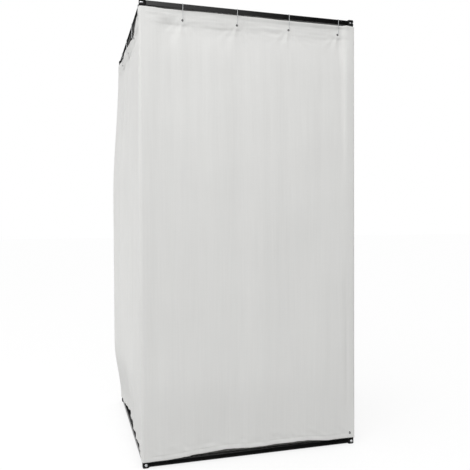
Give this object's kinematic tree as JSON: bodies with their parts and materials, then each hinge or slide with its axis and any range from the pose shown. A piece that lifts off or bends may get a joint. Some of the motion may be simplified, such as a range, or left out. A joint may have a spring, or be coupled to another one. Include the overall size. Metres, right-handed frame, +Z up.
{
  "type": "portable fitting room",
  "caption": "Square free-standing changing cabin: black square-tube frame with moulded corner connectors and a white curtain on wire hooks, whose front stretch slides open.",
  "frame": {"origin": "on the floor, under the middle of the frame", "axes": "+X to the right along the front, +Y from the front to the back, +Z up"},
  "size_m": [1.0787, 1.04, 2],
  "materials": {
    "frame_tube": "satin black",
    "connector": "moulded, fine grain",
    "corner_plate": "bright zinc plate",
    "bolt": "polished",
    "hook_wire": "bright drawn wire",
    "eyelet": "black nickel plate",
    "curtain": "plain-woven polyester, warm white"
  },
  "bodies": {
    "frame": {"rail_top_front": "frame_tube", "rail_top_right": "frame_tube", "rail_top_back": "frame_tube", "rail_top_left": "frame_tube", "rail_bottom_front": "frame_tube", "rail_bottom_right": "frame_tube", "rail_bottom_back": "frame_tube", "rail_bottom_left": "frame_tube", "post_lower_front_left": "frame_tube", "post_lower_front_right": "frame_tube", "post_lower_back_right": "frame_tube", "post_lower_back_left": "frame_tube", "post_upper_front_left": "frame_tube", "post_upper_front_right": "frame_tube", "post_upper_back_right": "frame_tube", "post_upper_back_left": "frame_tube", "connector_top_front_left": "connector", "connector_top_front_right": "connector", "connector_top_back_right": "connector", "connector_top_back_left": "connector", "connector_bottom_front_left": "connector", "connector_bottom_front_right": "connector", "connector_bottom_back_right": "connector", "connector_bottom_back_left": "connector", "corner_plate_front_left": "corner_plate", "corner_plate_front_right": "corner_plate", "corner_plate_back_right": "corner_plate", "corner_plate_back_left": "corner_plate", "bolt_front_left": "bolt", "bolt_front_right": "bolt", "bolt_back_right": "bolt", "bolt_back_left": "bolt", "hook_right_1": "hook_wire", "hook_right_2": "hook_wire", "hook_right_3": "hook_wire", "hook_right_4": "hook_wire", "hook_back_1": "hook_wire", "hook_back_2": "hook_wire", "hook_back_3": "hook_wire", "hook_back_4": "hook_wire", "hook_left_1": "hook_wire", "hook_left_2": "hook_wire", "hook_left_3": "hook_wire", "hook_left_4": "hook_wire", "curtain_front": "curtain", "curtain_right": "curtain", "curtain_back": "curtain", "curtain_left": "curtain"},
    "runner_1": {"hook_front_1": "hook_wire", "eyelet_front_1": "eyelet"},
    "runner_2": {"hook_front_2": "hook_wire", "eyelet_front_2": "eyelet"},
    "runner_3": {"hook_front_3": "hook_wire", "eyelet_front_3": "eyelet"},
    "runner_4": {"hook_front_4": "hook_wire", "eyelet_front_4": "eyelet"},
    "hem_eyelet": {"eyelet_hem": "eyelet"}
  },
  "joints": [
    {"name": "curtain_slide", "type": "slide", "parent": "frame", "child": "runner_4", "axis": [-1, 0, 0], "range_m": [0, 0.638], "deforming": ["curtain_front"]},
    {"name": "runner_3_slide", "type": "slide", "parent": "frame", "child": "runner_3", "axis": [-1, 0, 0], "range_m": [0, 0.467]},
    {"name": "runner_2_slide", "type": "slide", "parent": "frame", "child": "runner_2", "axis": [-1, 0, 0], "range_m": [0, 0.296]},
    {"name": "runner_1_slide", "type": "slide", "parent": "frame", "child": "runner_1", "axis": [-1, 0, 0], "range_m": [0, 0.124]},
    {"name": "hem_eyelet_slide", "type": "slide", "parent": "frame", "child": "hem_eyelet", "axis": [-1, 0, 0], "range_m": [0, 0.676]}
  ],
  "couplings": [
    {"joint": "runner_3_slide", "follows": "curtain_slide", "ratio": 0.73127},
    {"joint": "runner_2_slide", "follows": "curtain_slide", "ratio": 0.46254},
    {"joint": "runner_1_slide", "follows": "curtain_slide", "ratio": 0.19382},
    {"joint": "hem_eyelet_slide", "follows": "curtain_slide", "ratio": 1.0592}
  ]
}
